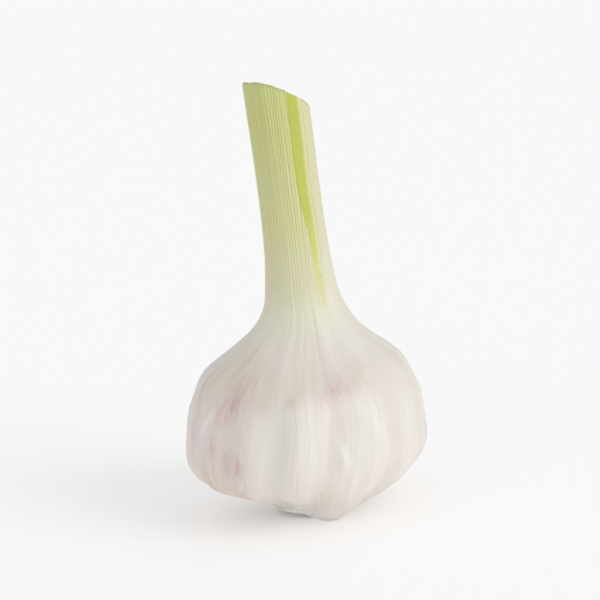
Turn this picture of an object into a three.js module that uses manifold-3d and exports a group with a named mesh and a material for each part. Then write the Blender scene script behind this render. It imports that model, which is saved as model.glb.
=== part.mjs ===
import * as THREE from 'three';
import Module from 'manifold-3d';

// A garlic bulb with its cut stem, in millimetres. +Z is up and the front is -Y.
// The origin is the middle of the small flat hub under the root plate, which the bulb rests on.
// Azimuths are in degrees, counter-clockwise from +X seen from above, so the front is at 270.

const wasm = await Module();
wasm.setup();

// Bulb outline over the crests of the cloves, from the root hollow up to the neck: [radius, height].
const BULB_OUTLINE = [
  [8.6, 0.4], [10.5, 0.0], [14.9, 2.1], [20.2, 5.1], [26.3, 9.7], [30.1, 15.6], [30.0, 23.0],
  [28.7, 30.4], [25.2, 37.0], [17.9, 42.7], [12.8, 47.4], [9.8, 52.8], [8.6, 59.0],
];
const OUTLINE_ROWS = 30;

// Stem radius, and the sideways shift of the centre line: [value, height].
const STEM_RADIUS = [[14.2, 46.0], [12.8, 47.4], [9.8, 52.8], [8.6, 59.0], [8.1, 65.0], [7.7, 74.0],
  [7.6, 86.0], [7.75, 108.0], [7.75, 120.0]];
const CENTRE_SHIFT = [[0.0, 0.0], [0.0, 2.0], [-0.3, 9.0], [-0.2, 20.0], [0.2, 30.0], [0.8, 40.0],
  [2.3, 50.0], [2.2, 58.0], [2.0, 72.0], [1.6, 88.0], [1.0, 106.0], [0.6, 120.0]];
// The stem is round at the neck and a little flat from front to back further up.
const STEM_DEPTH_RATIO = 0.94;
const FLATTER_FROM = 48.0;
const FLATTEST_FROM = 68.0;
const STEM_ROWS = 9;
const NECK_TOP = 59.0;

// The slanted cut through the stem: its height on the centre line and its slopes.
const CUT_HEIGHT = 104.5;
const CUT_SLOPE_X = -0.425;
const CUT_SLOPE_Y = -0.45;

// Creases between the cloves: [azimuth, depth share, how far the next clove is drawn in below].
// On the underside they run together a little to the left of the root plate's middle.
const CREASES = [
  [200, 1.0, 2.6], [229, 0.9, 2.6], [256, 0.8, 2.4], [284, 1.0, -1.4], [318, 1.0, 0.2],
  [343, 1.0, 0.5], [368, 1.0, 0.1], [394, 1.0, 0.0], [420, 1.0, 0.2], [448, 1.0, 0.1],
  [478, 1.0, 0.4], [508, 1.0, 1.2], [534, 1.0, 2.0],
];
const CREASE_CENTRE_X = -3.5;
const CREASE_CENTRE_FADE = [6.0, 30.0];
const CREASE_DEPTH = 1.1;
const CREASE_DEPTH_BELOW = 1.3;
const CREASE_SOFTNESS = 0.16;
const CLOVE_TOP = 32.0;
const CLOVE_TOP_FADE = 2.0;
// Below these heights the creases deepen and the cloves are drawn in, fully from CLOVE_BOTTOM down.
const CLOVE_FOOT = 14.0;
const DRAWN_IN_TOP = 11.0;
const CLOVE_BOTTOM = 3.0;
// Radii between which the creases open, and the foot of the leaf follows the drawn-in cloves.
const CREASE_OPENS = [8.6, 13.0];
const FOOT_FOLLOWS = [8.6, 10.6];
const FOOT_SHARE = 0.5;
const BULB_SIDES = 90;

// The outer leaf round the stem: its thickness, the depth of its bore and its open slit.
const SHEATH_THICKNESS = 0.9;
const BORE_FLOOR = 47.0;
const BORE_SIDES = 48;
const BORE_HEIGHTS = [BORE_FLOOR, 50, 53, 58, 65, 80, 95, 116];
const SLIT_LEFT = [[303.5, 59.5], [299.8, 61.0], [297.7, 63.0], [297.4, 66.0], [297.0, 70.0], [292.0, 74.0],
  [287.2, 79.0], [285.0, 86.0], [285.2, 92.0], [287.5, 100.0], [288.5, 107.0], [288.5, 120.0]];
const SLIT_RIGHT = [[306.5, 59.5], [311.0, 61.0], [314.2, 63.0], [315.8, 66.0], [316.8, 74.0],
  [315.0, 82.0], [317.0, 90.0], [318.5, 98.0], [318.5, 120.0]];
const SLIT_FLOOR = 59.5;
const SLIT_HEIGHTS = [SLIT_FLOOR, 61, 63, 66, 70, 74, 79, 86, 92, 100, 116];
const SLIT_OUTSIDE = -4.0;
const SLIT_INSIDE = 2.2;

// The rolled inner leaves: clearance in the bore, and the rings seen where they are cut.
const LEAF_GAP = 0.3;
const LEAF_FLOOR = BORE_FLOOR + LEAF_GAP;
const LEAF_HEIGHTS = [LEAF_FLOOR, 50, 53, 58, 65, 80];
const LEAF_EDGE_DROP = 0.3;
const RING_STEPS = [[0.97, 0.0], [0.8, 0.0], [0.77, -0.7], [0.6, -0.7], [0.57, 0.1], [0.4, 0.1],
  [0.37, -0.6], [0.2, -0.6], [0.15, 0.2]];

// The root plate and its trimmed root stubs.
const HOLLOW_RADIUS = 8.6;
const HOLLOW_TOP = 3.2;
const PLATE_SIDES = 40;
const PLATE_PROFILE = [[4.0, 0.0], [4.5, 0.9], [6.4, 1.5], [7.9, 1.7], [8.3, 2.0], [8.3, 2.9]];
// Rings of roots: [radius, count], and how far a root may stand off its even place: out of the
// ring, in millimetres, and round it, as a share of the way to the next root.
const ROOT_RINGS = [[5.2, 12], [6.4, 15], [7.5, 18]];
const ROOT_OFF_RING = 0.15;
const ROOT_OFF_TURN = 0.6;
// The roots taper to their cut ends, lean outwards and end higher towards the plate's rim.
const ROOT_THINNEST = 0.4;
const ROOT_THICKEST = 0.6;
const ROOT_TIP_SHARE = 0.85;
const ROOT_LEAN = 0.3;
const ROOT_SUNK_TO = 2.4;
const ROOT_END_RISE = 0.3;
const ROOT_END_FROM = 4.2;
const ROOT_END_SPREAD = 0.5;
const ROOT_SIDES = 6;

const COLOURS = { skin: 0xe9e2dc, leaf: 0xc4cc74, roots: 0xb79f80 };

function radians(degrees) {
  return THREE.MathUtils.degToRad(degrees);
}

// A small seeded draw between 0 and 1, so that the roots fall alike on every build.
function seededDraw(seed) {
  let state = seed;
  return () => {
    state = (state * 1664525 + 1013904223) % 4294967296;
    return state / 4294967296;
  };
}

// The value of a [value, height] table at a height, along a smooth curve through its points.
function along(table, height) {
  const last = table.length - 1;
  if (height <= table[0][1]) return table[0][0];
  if (height >= table[last][1]) return table[last][0];
  const k = table.findIndex((point) => point[1] > height) - 1;
  const share = (height - table[k][1]) / (table[k + 1][1] - table[k][1]);
  const before = table[Math.max(k - 1, 0)][0];
  const after = table[Math.min(k + 2, last)][0];
  const leave = (table[k + 1][0] - before) / 2;
  const arrive = (after - table[k][0]) / 2;
  const rise = table[k + 1][0] - table[k][0];
  const cubic = leave + arrive - 2 * rise;
  const square = 3 * rise - 2 * leave - arrive;
  return ((cubic * share + square) * share + leave) * share + table[k][0];
}

// The azimuth of a place on the bulb, seen from where the creases run together.
function patternAzimuth(radius, height, azimuth) {
  const centre = CREASE_CENTRE_X * (1 - THREE.MathUtils.smoothstep(height, ...CREASE_CENTRE_FADE));
  const [x, y] = polar(radius, azimuth, height);
  return THREE.MathUtils.radToDeg(Math.atan2(y, x - centre));
}

// How deep the crease is at an azimuth, and how far the cloves there are drawn in below.
// Down in a crease it is halfway between the two cloves beside it.
function creaseAt(azimuth) {
  const first = CREASES[0][0];
  const angle = first + ((azimuth - first) % 360 + 360) % 360;
  const next = CREASES.findIndex((crease) => crease[0] > angle);
  const k = (next < 0 ? CREASES.length : next) - 1;
  const right = CREASES[(k + 1) % CREASES.length];
  const end = next < 0 ? first + 360 : right[0];
  const place = (2 * (angle - CREASES[k][0])) / (end - CREASES[k][0]);
  const near = Math.min(place, 2 - place);
  const share = place <= 1 ? CREASES[k][1] : right[1];
  const soft = CREASE_SOFTNESS;
  const rounded = (Math.hypot(near, soft) - soft) / (Math.hypot(1, soft) - soft);
  const valley = (1 - rounded) ** 2;
  const beside = place <= 1 ? CREASES[(k + CREASES.length - 1) % CREASES.length] : right;
  const drawnIn = CREASES[k][2] + ((beside[2] - CREASES[k][2]) * valley) / 2;
  return { depth: share * valley, drawnIn };
}

// How far the skin lies inside the outline at one place: it sinks between the cloves,
// most of all on the underside, and runs smooth over the shoulder and at the root plate.
function inset(radius, height, azimuth) {
  const crease = creaseAt(patternAzimuth(radius, height, azimuth));
  const below = THREE.MathUtils.clamp((CLOVE_FOOT - height) / (CLOVE_FOOT - CLOVE_BOTTOM), 0, 1);
  const onCloves = 1 / (1 + Math.exp((height - CLOVE_TOP) / CLOVE_TOP_FADE));
  const depth = THREE.MathUtils.lerp(CREASE_DEPTH, CREASE_DEPTH_BELOW, below);
  const sunk = crease.depth * depth * onCloves * THREE.MathUtils.smoothstep(radius, ...CREASE_OPENS);
  const underneath = THREE.MathUtils.clamp((DRAWN_IN_TOP - height) / (DRAWN_IN_TOP - CLOVE_BOTTOM), 0, 1);
  const follows = THREE.MathUtils.lerp(FOOT_SHARE, 1, THREE.MathUtils.smoothstep(radius, ...FOOT_FOLLOWS));
  return sunk + crease.drawnIn * underneath * follows;
}

function ringOf(sides, pointAt) {
  return Array.from({ length: sides }, (_, k) => pointAt((360 * k) / sides));
}

function polar(radius, azimuth, height, shift = 0, depthRatio = 1) {
  const angle = radians(azimuth);
  return [shift + radius * Math.cos(angle), radius * depthRatio * Math.sin(angle), height];
}

// A closed solid through a stack of rings, with its two end rings filled from their middles.
function loft(rings) {
  const sides = rings[0].length;
  const points = rings.flat();
  const faces = [];
  for (let row = 0; row + 1 < rings.length; row += 1) {
    for (let k = 0; k < sides; k += 1) {
      const a = row * sides + k;
      const b = row * sides + ((k + 1) % sides);
      faces.push(a, b, b + sides, a, b + sides, a + sides);
    }
  }
  const middle = (ring) => [0, 1, 2].map((i) => ring.reduce((sum, p) => sum + p[i], 0) / sides);
  const top = (rings.length - 1) * sides;
  const foot = points.push(middle(rings[0])) - 1;
  const head = points.push(middle(rings[rings.length - 1])) - 1;
  for (let k = 0; k < sides; k += 1) {
    const next = (k + 1) % sides;
    faces.push(foot, next, k, head, top + k, top + next);
  }
  return new wasm.Manifold(new wasm.Mesh({
    numProp: 3,
    vertProperties: new Float32Array(points.flat()),
    triVerts: new Uint32Array(faces),
  }));
}

function namedMesh(name, solid, colour, roughness) {
  const { vertProperties, triVerts } = solid.getMesh();
  const geometry = new THREE.BufferGeometry();
  geometry.setAttribute('position', new THREE.BufferAttribute(vertProperties, 3));
  geometry.setIndex(new THREE.BufferAttribute(triVerts, 1));
  geometry.computeVertexNormals();
  const material = new THREE.MeshStandardMaterial({ color: colour, roughness, metalness: 0 });
  const mesh = new THREE.Mesh(geometry, material);
  mesh.name = name;
  return mesh;
}

// A point of the stem, a given depth under its outer surface.
function stemPoint(azimuth, height, depth) {
  const radius = along(STEM_RADIUS, height) - depth;
  const settle = THREE.MathUtils.clamp((height - FLATTER_FROM) / (FLATTEST_FROM - FLATTER_FROM), 0, 1);
  return polar(radius, azimuth, height, along(CENTRE_SHIFT, height), 1 - (1 - STEM_DEPTH_RATIO) * settle);
}

// Where the slanted cut meets the stem at an azimuth and a depth under its surface.
function cutPoint(azimuth, depth) {
  const middle = along(CENTRE_SHIFT, CUT_HEIGHT);
  let point = stemPoint(azimuth, CUT_HEIGHT, depth);
  for (let round = 0; round < 6; round += 1) {
    const height = CUT_HEIGHT + CUT_SLOPE_X * (point[0] - middle) + CUT_SLOPE_Y * point[1];
    point = stemPoint(azimuth, height, depth);
  }
  return point;
}

// The skin below the neck: the outline, with the skin drawn in between the cloves.
function bulbRings() {
  const points = BULB_OUTLINE.map(([radius, height]) => new THREE.Vector2(radius, height));
  const outline = new THREE.SplineCurve(points);
  const rings = [];
  for (let row = 0; row <= OUTLINE_ROWS; row += 1) {
    const place = outline.getPoint(row / OUTLINE_ROWS);
    const way = outline.getTangent(row / OUTLINE_ROWS);
    rings.push(ringOf(BULB_SIDES, (azimuth) => {
      const sunk = inset(place.x, place.y, azimuth);
      const height = Math.max(place.y + way.x * sunk, 0);
      return polar(place.x - way.y * sunk, azimuth, height, along(CENTRE_SHIFT, height));
    }));
  }
  return rings;
}

// The stem's rows are spread evenly from the neck up to the slanted cut.
function stemRings() {
  const rings = [];
  for (let row = 1; row <= STEM_ROWS; row += 1) {
    rings.push(ringOf(BULB_SIDES, (azimuth) => {
      const cut = cutPoint(azimuth, 0);
      return stemPoint(azimuth, THREE.MathUtils.lerp(NECK_TOP, cut[2], row / STEM_ROWS), 0);
    }));
  }
  return rings;
}

function boreSolid() {
  return loft(BORE_HEIGHTS.map((height) => (
    ringOf(BORE_SIDES, (azimuth) => stemPoint(azimuth, height, SHEATH_THICKNESS))
  )));
}

// The slit is cut from the bore outwards, between two edges that wander with the height.
function slitSolid() {
  return loft(SLIT_HEIGHTS.map((height) => {
    const left = along(SLIT_LEFT, height);
    const right = along(SLIT_RIGHT, height);
    return [
      stemPoint(left, height, SLIT_OUTSIDE),
      stemPoint(right, height, SLIT_OUTSIDE),
      stemPoint(right, height, SLIT_INSIDE),
      stemPoint(left, height, SLIT_INSIDE),
    ];
  }));
}

// The outer leaf: drawn over all the cloves as the bulb's skin, and open along the stem.
function bulb() {
  const hollow = ringOf(BULB_SIDES, (azimuth) => polar(HOLLOW_RADIUS, azimuth, HOLLOW_TOP));
  const whole = loft([hollow, ...bulbRings(), ...stemRings()]);
  return whole.subtract(boreSolid()).subtract(slitSolid());
}

// The younger leaves, rolled inside the outer one, show as rings where the stem is cut.
function innerLeaves() {
  const depth = SHEATH_THICKNESS + LEAF_GAP;
  const rings = LEAF_HEIGHTS.map((height) => (
    ringOf(BORE_SIDES, (azimuth) => stemPoint(azimuth, height, depth))
  ));
  const edge = ringOf(BORE_SIDES, (azimuth) => cutPoint(azimuth, depth));
  const middle = [0, 1, 2].map((i) => edge.reduce((sum, point) => sum + point[i], 0) / BORE_SIDES);
  const cutRing = (share, rise) => edge.map((point) => [
    THREE.MathUtils.lerp(middle[0], point[0], share),
    THREE.MathUtils.lerp(middle[1], point[1], share),
    THREE.MathUtils.lerp(middle[2], point[2], share) + rise,
  ]);
  rings.push(cutRing(1, -LEAF_EDGE_DROP), ...RING_STEPS.map(([share, rise]) => cutRing(share, rise)));
  return loft(rings);
}

// One trimmed root: a short peg that leans outwards, sunk well into the plate.
function rootStub(azimuth, radius, draw) {
  const thick = THREE.MathUtils.lerp(ROOT_THINNEST, ROOT_THICKEST, draw());
  const end = ROOT_END_RISE * (radius - ROOT_END_FROM) + ROOT_END_SPREAD * draw();
  const lean = ROOT_LEAN * draw();
  const turn = 360 * draw();
  const foot = polar(radius, azimuth, ROOT_SUNK_TO);
  const tip = polar(radius + lean, azimuth, end);
  const ringAt = (centre, size) => ringOf(ROOT_SIDES, (angle) => [
    centre[0] + size * Math.cos(radians(angle + turn)),
    centre[1] + size * Math.sin(radians(angle + turn)),
    centre[2],
  ]);
  return loft([ringAt(tip, thick * ROOT_TIP_SHARE), ringAt(foot, thick)]);
}

// The woody disc that the cloves grow from, with a ring of trimmed roots round its flat hub.
function rootPlate() {
  const draw = seededDraw(20);
  let plate = loft(PLATE_PROFILE.map(([radius, height]) => (
    ringOf(PLATE_SIDES, (azimuth) => polar(radius, azimuth, height))
  )));
  for (const [radius, count] of ROOT_RINGS) {
    for (let k = 0; k < count; k += 1) {
      const azimuth = (360 * (k + ROOT_OFF_TURN * draw())) / count;
      const off = ROOT_OFF_RING * (2 * draw() - 1);
      plate = plate.add(rootStub(azimuth, radius + off, draw));
    }
  }
  return plate;
}

const group = new THREE.Group();
group.add(namedMesh('bulb', bulb(), COLOURS.skin, 0.55));
group.add(namedMesh('inner_leaves', innerLeaves(), COLOURS.leaf, 0.5));
group.add(namedMesh('root_plate', rootPlate(), COLOURS.roots, 0.9));

export default group;
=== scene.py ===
import math

import bpy
import numpy as np
from mathutils import Matrix, Vector


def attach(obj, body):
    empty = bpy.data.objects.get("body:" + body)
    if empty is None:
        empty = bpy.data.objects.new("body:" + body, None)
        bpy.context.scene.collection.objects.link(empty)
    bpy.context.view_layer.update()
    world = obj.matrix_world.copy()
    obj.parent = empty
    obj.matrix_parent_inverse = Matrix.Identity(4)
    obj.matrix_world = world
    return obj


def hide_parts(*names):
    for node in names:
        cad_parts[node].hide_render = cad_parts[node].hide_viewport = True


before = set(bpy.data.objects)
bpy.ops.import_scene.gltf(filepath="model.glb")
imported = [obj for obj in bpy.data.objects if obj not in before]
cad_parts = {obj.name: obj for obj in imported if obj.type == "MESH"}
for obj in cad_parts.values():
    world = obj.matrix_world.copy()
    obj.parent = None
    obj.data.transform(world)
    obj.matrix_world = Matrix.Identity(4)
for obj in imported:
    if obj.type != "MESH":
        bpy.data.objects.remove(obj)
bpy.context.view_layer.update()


# The camera stands low in front of the bulb and a little above it. It is turned by a few degrees,
# because the bulb leans to the left in the picture.
CAMERA_RISE = math.radians(12.0)
CAMERA_TURN = math.radians(6.0)
CAMERA_DISTANCE = 0.650
PICTURE_WIDTH = 0.1488
SENSOR_WIDTH = 36.0
AIM_RIGHT = 0.00163
AIM_HEIGHT = 0.0535

looking = Vector((0.0, math.cos(CAMERA_RISE), -math.sin(CAMERA_RISE)))
level_right = Vector((1.0, 0.0, 0.0))
level_up = level_right.cross(looking)
turned_up = level_up * math.cos(CAMERA_TURN) + level_right * math.sin(CAMERA_TURN)
turned_right = level_right * math.cos(CAMERA_TURN) - level_up * math.sin(CAMERA_TURN)
camera_data = bpy.data.cameras.new("camera")
camera_data.sensor_width = SENSOR_WIDTH
camera_data.lens = SENSOR_WIDTH * CAMERA_DISTANCE / PICTURE_WIDTH
camera = bpy.data.objects.new("camera", camera_data)
bpy.context.collection.objects.link(camera)
turning = Matrix((turned_right, turned_up, -looking)).transposed().to_4x4()
place = Vector((AIM_RIGHT, 0.0, AIM_HEIGHT)) - looking * CAMERA_DISTANCE
camera.matrix_world = Matrix.Translation(place) @ turning
bpy.context.scene.camera = camera


# The outer leaf is one fresh leaf with fine parallel veins. It is drawn over all the cloves, sinks
# between them, closes round the neck and runs up as the stem's sheath, which is open at the front
# right. Its foot is torn off round the root plate.
MM = 0.001
FULL_TURN = 6.283
FRONT = 270.0
BACK = 90.0
# The outline and the stem, in millimetres: (radius, height) and (shift to the right, height).
BULB_OUTLINE = [
    (8.6, 0.4), (10.5, 0.0), (14.9, 2.1), (20.2, 5.1), (26.3, 9.7), (30.1, 15.6), (30.0, 23.0),
    (28.7, 30.4), (25.2, 37.0), (17.9, 42.7), (12.8, 47.4), (9.8, 52.8), (8.6, 59.0),
]
STEM_RADIUS = [(8.6, 59.0), (8.1, 65.0), (7.7, 74.0), (7.6, 86.0), (7.75, 108.0), (7.75, 120.0)]
CENTRE_SHIFT = [(0.0, 0.0), (0.0, 2.0), (-0.3, 9.0), (-0.2, 20.0), (0.2, 30.0), (0.8, 40.0),
                (2.3, 50.0), (2.2, 58.0), (2.0, 72.0), (1.6, 88.0), (1.0, 106.0), (0.6, 120.0)]
WIDEST_RADIUS = 30.0
NECK_FROM = 40.0
NECK_TOP = 59.0
STEM_DEPTH_RATIO = 0.94
FLATTER_FROM = 48.0
FLATTEST_FROM = 68.0
CUT_HEIGHT = 104.5
CUT_SLOPE_X = -0.425
CUT_SLOPE_Y = -0.45
CUT_RAGGEDNESS = 0.07
# The cut edge's raised corner and its notch: (azimuth, width in degrees, how far up).
CUT_JAGS = [(190.0, 12.0, 0.5), (216.0, 4.0, -0.45)]

# Each crease between two cloves: its azimuth in degrees, counter-clockwise from +X with the front
# at 270, its depth share, how far the next clove is drawn in below, and how much higher its top is.
CREASES = [
    (200, 1.0, 2.6, 0.2), (229, 0.9, 2.6, 0.3), (256, 0.8, 2.4, 1.4), (284, 1.0, -1.4, 0.7),
    (318, 1.0, 0.2, -0.2), (343, 1.0, 0.5, -1.0), (368, 1.0, 0.1, 0.4), (394, 1.0, 0.0, -1.0),
    (420, 1.0, 0.2, -0.2), (448, 1.0, 0.1, 0.5), (478, 1.0, 0.4, -1.0), (508, 1.0, 1.2, 0.2),
    (534, 1.0, 2.0, -0.4),
]
CREASE_CENTRE_X = -3.5
CREASE_CENTRE_FADE = (6.0, 30.0)
CREASE_DEPTH = 1.1
CREASE_DEPTH_BELOW = 1.3
CREASE_SOFTNESS = 0.16
CREASE_OPENS = (8.6, 13.0)
CLOVE_TOP = 32.0
CLOVE_TOP_STEP = 2.0
CLOVE_TOP_FADE = 2.0
# Over the clove tops the leaf is hollow behind: how deep it dips, how far above and over what reach.
HOLLOW_DEPTH = 0.35
HOLLOW_ABOVE = 3.0
HOLLOW_REACH = 3.2
CLOVE_FOOT = 14.0
DRAWN_IN_TOP = 11.0
CLOVE_BOTTOM = 3.0
FOOT_SHARE = 0.5
FOOT_FOLLOWS = (8.6, 10.6)

# The fold down the front, and the pleats: (azimuth, width in degrees, from height, to height,
# how far the leaf stands out there).
FOLD_AZIMUTH = 265.4
FOLD_STEP = 0.13
PLEATS = [
    (281, 3.0, 4, 26, -0.20), (289, 2.0, 16, 25, 0.30), (296, 2.5, 6, 22, 0.25),
    (307, 3.5, 18, 30, 0.30), (214, 3.0, 24, 33, 0.30), (242, 3.0, 20, 30, 0.25),
    (252, 3.0, 6, 28, -0.20), (237, 3.0, 3, 18, -0.30), (330, 3.0, 6, 28, 0.25),
    (355, 3.0, 8, 28, -0.25), (20, 3.0, 10, 30, 0.30), (47, 4.0, 5, 26, -0.25), (75, 3.0, 8, 29, 0.25),
    (98, 3.0, 12, 30, 0.25), (125, 4.0, 5, 27, -0.30), (150, 3.0, 10, 30, 0.25), (188, 3.0, 8, 28, 0.20),
]

# The mesh: columns round the bulb, which start and end at the slit, and rows along the leaf.
COLUMNS = 360
BULB_ROWS = 140
STEM_ROWS = 46
SLIT_AZIMUTH = 305.0
SLIT_FOOT = 59.5
# How far each margin of the slit lies to its own side of the slit's foot: (degrees, height).
SLIT_OPEN_LEFT = [
    (0.0, 59.5), (5.2, 61.0), (7.3, 63.0), (7.6, 66.0), (8.0, 70.0), (13.0, 74.0), (17.8, 79.0),
    (20.0, 86.0), (19.8, 92.0), (17.5, 100.0), (16.5, 107.0), (16.5, 120.0),
]
SLIT_OPEN_RIGHT = [
    (0.0, 59.5), (6.0, 61.0), (9.2, 63.0), (10.8, 66.0), (11.8, 74.0), (10.0, 82.0), (12.0, 90.0),
    (13.5, 98.0), (13.5, 120.0),
]
SHEATH_THICKNESS = 0.9
LEFT_MARGIN_THICKNESS = 0.34
RIGHT_MARGIN_THICKNESS = 0.02
MARGIN_TAPER = 3.5
BORE_FLOOR = 47.3
BORE_ROWS = 12
RIM_RISE = np.array([0.0, 0.0, 0.05])

# The veins and the fine relief: the veins' height at each pitch between them, how much straighter
# they run low on the front, how far round and at which heights, and the leaf's own unevenness.
VEINS = 60
VEIN_TURN = 360.0 / VEINS
VEIN_PITCHES = [0.8, 1.1, 2.0, 3.2]
VEIN_HEIGHTS = [0.06, 0.045, 0.04, 0.05]
STRAIGHTER = 0.8
STRAIGHTER_REACH = 50.0
STRAIGHTER_FADE = (10.0, 22.0)
LEAF_UNEVENNESS = 0.14
STEM_UNEVENNESS = 0.10
PUCKER_HEIGHT = 0.09
TORN_DEPTH = 0.18


def smoothstep(value, low, high):
    share = np.clip((value - low) / (high - low), 0.0, 1.0)
    return share * share * (3.0 - 2.0 * share)


def past(azimuth, middle):
    """How far an azimuth lies past another one, from -180 to 180 degrees."""
    return (azimuth - middle + 180.0) % 360.0 - 180.0


def smooth_curve(points, share):
    """Points on a smooth curve through the given ones, for shares from 0 to 1 of the way."""
    points = np.asarray(points, float)
    spans = len(points) - 1
    span = np.clip(np.floor(share * spans).astype(int), 0, spans - 1)
    part = (share * spans - span)[..., None]
    start, end = points[span], points[span + 1]
    leave = (end - points[np.maximum(span - 1, 0)]) / 2.0
    arrive = (points[np.minimum(span + 2, spans)] - start) / 2.0
    cubic = leave + arrive - 2.0 * (end - start)
    square = 3.0 * (end - start) - 2.0 * leave - arrive
    return ((cubic * part + square) * part + leave) * part + start


def along(table, height):
    """The value of a (value, height) table at each height, on a smooth curve through its points."""
    heights = np.asarray([row[1] for row in table], float)
    height = np.clip(height, heights[0], heights[-1])
    span = np.clip(np.searchsorted(heights, height, side="right") - 1, 0, len(table) - 2)
    part = (height - heights[span]) / (heights[span + 1] - heights[span])
    share = (span + part) / (len(table) - 1)
    return smooth_curve([(row[0],) for row in table], share)[..., 0]


def crease_at(azimuth):
    """The crease depth, how far the clove is drawn in below, and how much higher its top is."""
    edges = np.asarray([crease[0] for crease in CREASES], float)
    depths = np.asarray([crease[1] for crease in CREASES], float)
    drawn = np.asarray([crease[2] for crease in CREASES], float)
    tops = np.asarray([crease[3] for crease in CREASES], float)
    angle = edges[0] + (azimuth - edges[0]) % 360.0
    left = np.searchsorted(edges, angle, side="right") - 1
    right = (left + 1) % len(edges)
    width = (edges[right] - edges[left]) % 360.0
    across = 2.0 * (angle - edges[left]) / width
    near = np.minimum(across, 2.0 - across)
    share = np.where(across <= 1.0, depths[left], depths[right])
    rounded = np.hypot(near, CREASE_SOFTNESS) - CREASE_SOFTNESS
    rounded /= math.hypot(1.0, CREASE_SOFTNESS) - CREASE_SOFTNESS
    valley = (1.0 - rounded) ** 2
    beside = np.where(across <= 1.0, left - 1, right)
    drawn_here = drawn[left] + (drawn[beside] - drawn[left]) * valley / 2.0
    top_here = tops[left] + (tops[beside] - tops[left]) * valley / 2.0
    return share * valley, drawn_here, top_here


def clove_top_at(valley, top_up):
    """The height up to which the leaf lies on the cloves: a little lower down in a crease."""
    return CLOVE_TOP + CLOVE_TOP_STEP * top_up - valley


def pattern_azimuth(radius, height, azimuth):
    """The azimuth seen from where the creases and veins run together under the bulb."""
    centre = CREASE_CENTRE_X * (1.0 - smoothstep(height, *CREASE_CENTRE_FADE))
    x = radius * np.cos(np.radians(azimuth)) - centre
    y = radius * np.sin(np.radians(azimuth))
    return azimuth + past(np.degrees(np.arctan2(y, x)), azimuth)


def vein_azimuth(radius, height, pattern):
    """The azimuth that a vein comes down from. Low on the front the veins run straight down and
    don't draw together as fast as the bulb narrows."""
    around = past(pattern, FRONT)
    narrower = 1.0 - np.minimum(radius / WIDEST_RADIUS, 1.0)
    narrower = narrower * (1.0 - smoothstep(height, *STRAIGHTER_FADE))
    return pattern - around * STRAIGHTER * narrower * np.exp(-((around / STRAIGHTER_REACH) ** 2))


def ripple(turn, rise, waves, seed):
    """A smooth unevenness of about -1 to 1 that closes on itself round the bulb.
    Each wave is the most bumps that it has round the bulb, and its length along the leaf."""
    draw = np.random.default_rng(seed)
    total = np.zeros(np.broadcast(turn, rise).shape)
    for bumps, length in waves:
        for count in draw.integers(max(bumps // 2, 1), bumps + 1, 4):
            tilt = draw.uniform(-2.0, 2.0) * math.pi / length
            total += np.cos(np.radians(turn) * int(count) + rise * tilt + draw.uniform(0.0, FULL_TURN))
    return total / (2.0 * math.sqrt(len(waves) * 2.0))


def stem_point(azimuth, height, radius):
    """A point of the bulb or the stem, which is a little flat from front to back further up."""
    settle = np.clip((height - FLATTER_FROM) / (FLATTEST_FROM - FLATTER_FROM), 0.0, 1.0)
    x = along(CENTRE_SHIFT, height) + radius * np.cos(np.radians(azimuth))
    y = radius * np.sin(np.radians(azimuth)) * (1.0 - (1.0 - STEM_DEPTH_RATIO) * settle)
    return np.stack([x, y, height + 0.0 * azimuth], axis=-1)


fine_share = np.linspace(0.0, 1.0, 800)
fine_outline = smooth_curve(BULB_OUTLINE, fine_share)


def radius_at(height):
    """The radius over the neck and the stem, where the outline only narrows or runs straight."""
    neck = fine_outline[fine_outline[:, 1] > NECK_FROM]
    low = np.interp(height, neck[:, 1], neck[:, 0])
    return np.where(height < NECK_TOP, low, along(STEM_RADIUS, height))


def cut_height(azimuth, depth):
    """The height of the slanted cut at an azimuth and a depth under the stem's surface."""
    middle = along(CENTRE_SHIFT, np.asarray(CUT_HEIGHT))
    height = np.full(np.shape(azimuth), CUT_HEIGHT)
    for _ in range(6):
        point = stem_point(azimuth, height, radius_at(height) - depth)
        height = CUT_HEIGHT + CUT_SLOPE_X * (point[..., 0] - middle) + CUT_SLOPE_Y * point[..., 1]
    return height


def beside_slit(azimuth, height):
    """How far out to the left and to the right of the slit's margins each place is, in degrees."""
    turn = past(azimuth, SLIT_AZIMUTH)
    return -along(SLIT_OPEN_LEFT, height) - turn, turn - along(SLIT_OPEN_RIGHT, height)


def left_margin(height):
    """How thick the left margin of the slit is: as thin as the right one down at the slit's foot."""
    thicker = smoothstep(height, SLIT_FOOT + 2.5, SLIT_FOOT + 14.0)
    return RIGHT_MARGIN_THICKNESS + (LEFT_MARGIN_THICKNESS - RIGHT_MARGIN_THICKNESS) * thicker


def sheath_wall(azimuth, height):
    """How thick the sheath is: full, but thin at the slit's margins and round its foot."""
    from_left, from_right = beside_slit(azimuth, height)
    arc = np.radians(1.0) * radius_at(height)
    near_left = (1.0 - smoothstep(from_left * arc, 0.0, MARGIN_TAPER)) * (from_left > -0.05)
    near_right = (1.0 - smoothstep(from_right * arc, 0.0, MARGIN_TAPER)) * (from_right > -0.05)
    thinner_left = near_left * (SHEATH_THICKNESS - left_margin(height))
    thinner_right = near_right * (SHEATH_THICKNESS - RIGHT_MARGIN_THICKNESS)
    near_slit = smoothstep(height, SLIT_FOOT - 5.0, SLIT_FOOT - 0.5)
    return SHEATH_THICKNESS - near_slit * np.maximum(thinner_left, thinner_right)


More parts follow.
